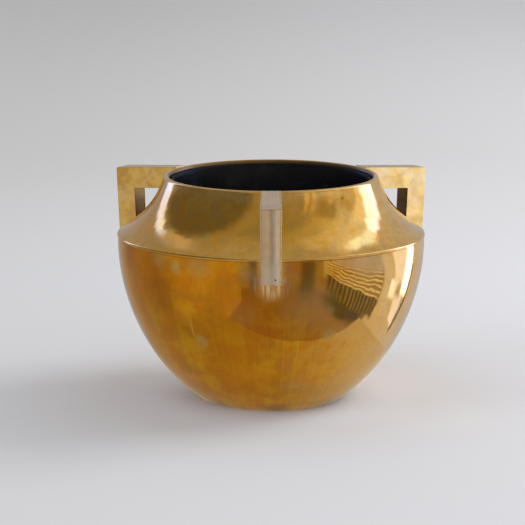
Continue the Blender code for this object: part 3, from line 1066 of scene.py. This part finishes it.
def with_doorway(tree, azimuth, elevation, light):
    squares = []
    for value, middle, reach in zip((azimuth, elevation), DOORWAY_MIDDLE, DOORWAY_REACH):
        out = maths(tree, "DIVIDE", maths(tree, "SUBTRACT", value, middle), reach)
        squares.append(maths(tree, "POWER", maths(tree, "ABSOLUTE", out), 2))
    head = smooth_step(tree, maths(tree, "SQRT", maths(tree, "ADD", *squares)), *DOORWAY_HEAD, 1, 0)
    edge = smooth_step(tree, azimuth, *DOORWAY_EDGE)
    foot = smooth_step(tree, elevation, *DOORWAY_FOOT)
    return mixed(tree, product(tree, head, edge, foot), light, DOORWAY_LIGHT)


def striped(tree, value, pitch, shading, gap, light):
    wave = maths(tree, "SINE", maths(tree, "MULTIPLY", value, 2 * pi / pitch))
    return mixed(tree, smooth_step(tree, wave, *shading), gap, light)


def with_blind(tree, azimuth, elevation, light):
    """The slatted blind, and the railing's bars under it."""
    along = maths(tree, "DIVIDE", maths(tree, "SUBTRACT", SLATS_ACROSS[0], azimuth), SLAT_CURVE_REACH)
    curve = maths(tree, "MULTIPLY_ADD", maths(tree, "EXPONENT", along), SLAT_CURVE_DROP, SLAT_CURVE_FOOT)
    angles = node(tree, "ShaderNodeCombineXYZ", {"X": azimuth, "Y": elevation}).outputs[0]
    waviness = cloud(tree, angles, SLAT_WAVE_SCALE, 1)
    waviness = maths(tree, "MULTIPLY_ADD", waviness, 2 * SLAT_WAVE, -SLAT_WAVE)
    above = maths(tree, "ADD", maths(tree, "SUBTRACT", elevation, curve), waviness)
    across = between(tree, azimuth, *SLATS_ACROSS, SLATS_SOFTNESS)
    top = smooth_step(tree, above, SLATS_HEIGHT * 0.6, SLATS_HEIGHT, 1, 0)
    foot = smooth_step(tree, above, -0.3, 0.3)
    slats = striped(tree, above, SLAT_PITCH, SLAT_SHADING, SLAT_GAP, SLAT_LIGHT)
    light = mixed(tree, product(tree, across, top, foot), light, slats)
    bars = striped(tree, azimuth, BAR_PITCH, BAR_SHADING, BAR_GAP, BAR_LIGHT)
    low = between(tree, above, -BAR_LENGTH, 0, BAR_SOFTNESS)
    return mixed(tree, maths(tree, "MULTIPLY", across, low), light, bars)


def room_light():
    """A room for the brass to reflect, a plain sky to light the rest, and a plain backdrop for the camera."""
    world = bpy.data.worlds.new("room")
    bpy.context.scene.world = world
    world.use_nodes = True
    world.cycles.sampling_method = "NONE"
    tree = world.node_tree
    toward = node(tree, "ShaderNodeTexCoord").outputs["Generated"]
    across = coordinate(tree, toward, "X")
    front = maths(tree, "MULTIPLY", coordinate(tree, toward, "Y"), -1)
    azimuth = maths(tree, "DEGREES", maths(tree, "ARCTAN2", across, front))
    elevation = maths(tree, "DEGREES", maths(tree, "ARCSINE", coordinate(tree, toward, "Z")))
    light = mixed(tree, smooth_step(tree, across, *ROOM_SWEEP), ROOM_LEFT, ROOM_RIGHT)
    light = with_panels(tree, azimuth, elevation, light, CEILING)
    light = with_doorway(tree, azimuth, elevation, light)
    light = with_panels(tree, azimuth, elevation, light, PANELS)
    light = with_blind(tree, azimuth, elevation, light)
    room = tree.nodes["Background"]
    feed(tree, room, {"Color": light})
    sky = mixed(tree, smooth_step(tree, across, *SKY_SWEEP), SKY_LEFT, SKY_RIGHT)
    sky = node(tree, "ShaderNodeBackground", {"Color": sky})
    backdrop = node(tree, "ShaderNodeBackground", {"Color": (*BACKDROP_LIGHT, 1)})
    path = node(tree, "ShaderNodeLightPath").outputs
    inputs = {0: path["Is Glossy Ray"], 1: sky.outputs[0], 2: room.outputs[0]}
    unseen = node(tree, "ShaderNodeMixShader", inputs)
    inputs = {0: path["Is Camera Ray"], 1: unseen.outputs[0], 2: backdrop.outputs[0]}
    both = node(tree, "ShaderNodeMixShader", inputs)
    tree.links.new(both.outputs[0], tree.nodes["World Output"].inputs["Surface"])


def softbox(name, place, target, size, power, colour=(1, 1, 1)):
    """A square soft light that the camera doesn't see."""
    data = bpy.data.lights.new(name, "AREA")
    data.size = size
    data.energy = power
    data.color = colour
    made = bpy.data.objects.new(name, data)
    made.location = place
    made.rotation_euler = (Vector(target) - Vector(place)).to_track_quat("-Z", "Y").to_euler()
    made.visible_camera = False
    bpy.context.scene.collection.objects.link(made)
    return made


def handle_light(name, pieces, place, power, colour):
    """A softbox low beside one handle, for that handle only."""
    corner = pieces[0].matrix_world @ Vector((CORNER_RADIUS, 0, CORNER_Z))
    made = softbox(name, place, corner, HANDLE_LIGHT_SIZE, power, colour)
    lit = bpy.data.collections.new(name)
    for piece in pieces:
        lit.objects.link(piece)
    made.light_linking.receiver_collection = lit


def pale_ground(name, bm, material, place, turn=0.0):
    made = meshed(name, bm, material)
    made.location = place
    made.rotation_euler.z = turn
    return made


def swept(tree, place, reach, left, right):
    """A colour that goes from left to right within this reach of the pot."""
    return mixed(tree, smooth_step(tree, coordinate(tree, place, "X"), -reach, reach), left, right)


def floor():
    """A pale floor with painted light and shade: darker on the left and far away, and paler under the pot,
    where painted light lifts its shadow. The brass doesn't reflect it.
    """
    material, tree, shader, place = blank_material("floor")
    away = vector_maths(tree, "LENGTH", place)["Value"]
    # Painted light and shade: darker on the left, darker far away, and paler under the pot
    pale = swept(tree, place, FLOOR_SWEEP, FLOOR_LEFT, FLOOR_RIGHT)
    pale = mixed(tree, smooth_step(tree, away, *FLOOR_FAR), pale, FLOOR_FAR_SHADE, "MULTIPLY")
    pale = mixed(tree, smooth_step(tree, away, *FLOOR_NEAR), pale, FLOOR_NEAR_LIGHT)
    feed(tree, shader, {"Base Color": pale, "Roughness": 0.9, "Specular IOR Level": 0.2})
    bm = bmesh.new()
    bmesh.ops.create_circle(bm, cap_ends=True, radius=FLOOR_RADIUS, segments=96)
    wide = pale_ground("floor", bm, material, (0, 0, FLOOR_Z))
    wide.visible_glossy = False


def table():
    """The table-sized square that the brass reflects in place of the floor. It glows with painted floor
    light, with a painted shadow under the pot.
    """
    material, tree, shader, place = blank_material("table")
    lit = swept(tree, place, TABLE_SWEEP, TABLE_LEFT, TABLE_RIGHT)
    # A painted shadow under the pot
    contact = smooth_step(tree, vector_maths(tree, "LENGTH", place)["Value"], *CONTACT)
    inputs = {
        "Emission Color": mixed(tree, contact, lit, CONTACT_SHADOW_COLOUR),
        "Emission Strength": 1,
        "Base Color": (0, 0, 0, 1),
        "Specular IOR Level": 0,
    }
    feed(tree, shader, inputs)
    bm = bmesh.new()
    bmesh.ops.create_grid(bm, x_segments=1, y_segments=1, size=TABLE_SIDE / 2)
    made = pale_ground("table", bm, material, (*TABLE_CENTRE, FLOOR_Z / 2), TABLE_TURN)
    made.visible_camera = False
    made.visible_diffuse = False
    made.visible_shadow = False


def camera():
    data = bpy.data.cameras.new("camera")
    data.lens = LENS_MM
    data.sensor_width = SENSOR_MM
    made = bpy.data.objects.new("camera", data)
    made.location = CAMERA_PLACE
    made.rotation_euler = (pi / 2 - CAMERA_PITCH, 0, CAMERA_TURN)
    bpy.context.scene.collection.objects.link(made)
    bpy.context.scene.camera = made


def stand_for(piece, node_name, body):
    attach(piece, body)
    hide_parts(node_name)


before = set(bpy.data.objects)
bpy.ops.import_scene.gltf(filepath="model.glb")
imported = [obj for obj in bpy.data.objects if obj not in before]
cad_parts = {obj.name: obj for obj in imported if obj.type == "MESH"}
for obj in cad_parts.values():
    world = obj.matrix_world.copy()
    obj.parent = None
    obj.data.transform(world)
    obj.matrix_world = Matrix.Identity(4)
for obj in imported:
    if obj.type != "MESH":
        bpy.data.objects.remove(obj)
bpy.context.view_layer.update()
bpy.context.scene.view_settings.view_transform = "Standard"
camera()
floor()
table()
for name, (place, size, power) in STUDIO_LIGHTS.items():
    softbox(name, place, (0, 0, 0), size, power).visible_glossy = False
room_light()
raw = raw_brass("raw_brass", *SHEET_COLOURS)
stand_for(belly(belly_brass(), raw), "lower_bowl", "pot")
stand_for(neck(neck_brass(), raw), "neck_shell", "pot")
stand_for(lip_wire(raw), "rim_wire", "pot")
stand_for(tub(black_gloss()), "liner", "liner")
brasses = {
    "face": banded_and_highlit_brass(),
    "upright": satin_brass("upright_brass", *CHAMPAGNE, 0.4, 1.0, UPRIGHT),
    "level": satin_brass("level_brass", *CHAMPAGNE, 0.4, 0.2, LEVEL),
    "cheek": satin_brass("cheek_brass", *GOLDEN, 1.0, 0.5, UNSTREAKED),
    "hidden": raw_brass("window_brass", *GAP_COLOURS),
}
made_handles = handles(brasses)
for piece, node_name in made_handles:
    stand_for(piece, node_name, "pot")
bpy.context.view_layer.update()
for side, (place, power, colour) in HANDLE_LIGHTS.items():
    lit = [piece for piece, node_name in made_handles if piece.name.startswith(f"{side}_")]
    handle_light(f"{side}_handle_light", lit, place, power, colour)
